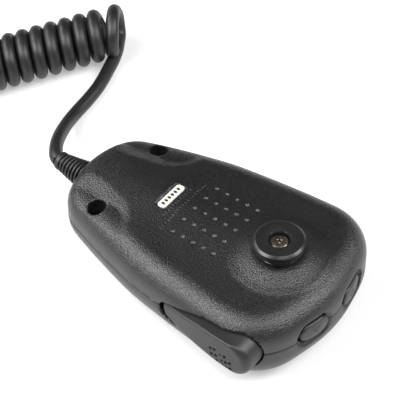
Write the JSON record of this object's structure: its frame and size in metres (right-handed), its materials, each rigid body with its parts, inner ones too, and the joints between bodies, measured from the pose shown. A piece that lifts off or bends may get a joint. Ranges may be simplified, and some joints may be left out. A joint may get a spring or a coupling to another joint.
{
  "type": "hand microphone",
  "caption": "Fist-sized two-way radio microphone with side talk lever, end step keys, hang-up button on the back, curly cord and round screw-ring plug.",
  "frame": {"origin": "middle of the flat front face that the microphone lies on, half way between its cord end and its key end", "axes": "+X from the cord end to the step keys, -Y towards the talk lever, +Z out of the back with the hang-up button"},
  "size_m": [0.2577, 0.1164, 0.0338],
  "materials": {
    "shell_black": "fine leather-like grain",
    "button_black": "satin",
    "lever_grey": "satin",
    "key_black": "satin",
    "steel": "zinc plated",
    "screw_bronze": "dark bronze plated",
    "brass": "turned",
    "label_cream": "printed label",
    "rubber": "satin",
    "switch_black": "moulded",
    "stem_white": "moulded",
    "board_green": "solder mask",
    "chip_black": "moulded",
    "capacitor_blue": "sleeved can",
    "header_cream": "moulded",
    "capsule_silver": "drawn can",
    "cloth": "woven cloth",
    "wires": "insulated strands",
    "chrome": "nickel plated",
    "insulator": "moulded phenolic"
  },
  "bodies": {
    "housing": {"back_cover": "shell_black", "front_cover": "shell_black", "case_screws": "steel", "case_inserts": "brass", "hangup_disc": "button_black", "hangup_neck": "button_black", "hangup_washer": "button_black", "hangup_screw": "screw_bronze", "hangup_insert": "brass", "label_plate": "label_cream", "ptt_pivot_pin": "steel", "ptt_return_spring": "steel", "ptt_switch": "switch_black", "up_switch": "switch_black", "down_switch": "switch_black", "key_board": "board_green", "main_board": "board_green", "board_screws": "steel", "audio_chips": "chip_black", "board_capacitors": "capacitor_blue", "wire_header": "header_cream", "mic_capsule": "capsule_silver", "capsule_boot": "rubber", "acoustic_cloth": "cloth", "strain_relief": "rubber", "cord_stub": "rubber", "cord_clamp": "steel", "clamp_screws": "steel", "inner_wires": "wires", "cord_lead": "rubber", "cord_coil": "rubber", "cord_tail": "rubber", "plug_boot": "rubber", "plug_shell": "chrome", "plug_insert": "insulator", "plug_pins": "brass", "plug_clamp": "steel", "plug_clamp_screws": "steel"},
    "ptt": {"ptt_lever": "lever_grey"},
    "ptt_plunger_body": {"ptt_plunger": "stem_white"},
    "up_key": {"up_button": "key_black", "up_switch_stem": "stem_white"},
    "down_key": {"down_button": "key_black", "down_switch_stem": "stem_white"},
    "ring": {"coupling_ring": "chrome"}
  },
  "joints": [
    {"name": "ptt_press", "type": "hinge", "parent": "housing", "child": "ptt", "pos_m": [0.0025, -0.0242, 0.01265], "axis": [0, 0, 1], "range_deg": [0, 3.5], "stiffness_Nm_per_rad": 0.6},
    {"name": "ptt_plunger_slide", "type": "slide", "parent": "housing", "child": "ptt_plunger_body", "axis": [0, 1, 0], "range_m": [0, 0.0008]},
    {"name": "up_press", "type": "slide", "parent": "housing", "child": "up_key", "axis": [-1, 0, 0], "range_m": [0, 0.0006], "stiffness_N_per_m": 1500},
    {"name": "down_press", "type": "slide", "parent": "housing", "child": "down_key", "axis": [-1, 0, 0], "range_m": [0, 0.0006], "stiffness_N_per_m": 1500},
    {"name": "ring_turn", "type": "hinge", "parent": "housing", "child": "ring", "pos_m": [-0.153, 0.017, 0.0095], "axis": [-0.5, -0.866, 0], "continuous": true}
  ],
  "couplings": [
    {"joint": "ptt_plunger_slide", "follows": "ptt_press", "m_per_rad": 0.0115}
  ]
}
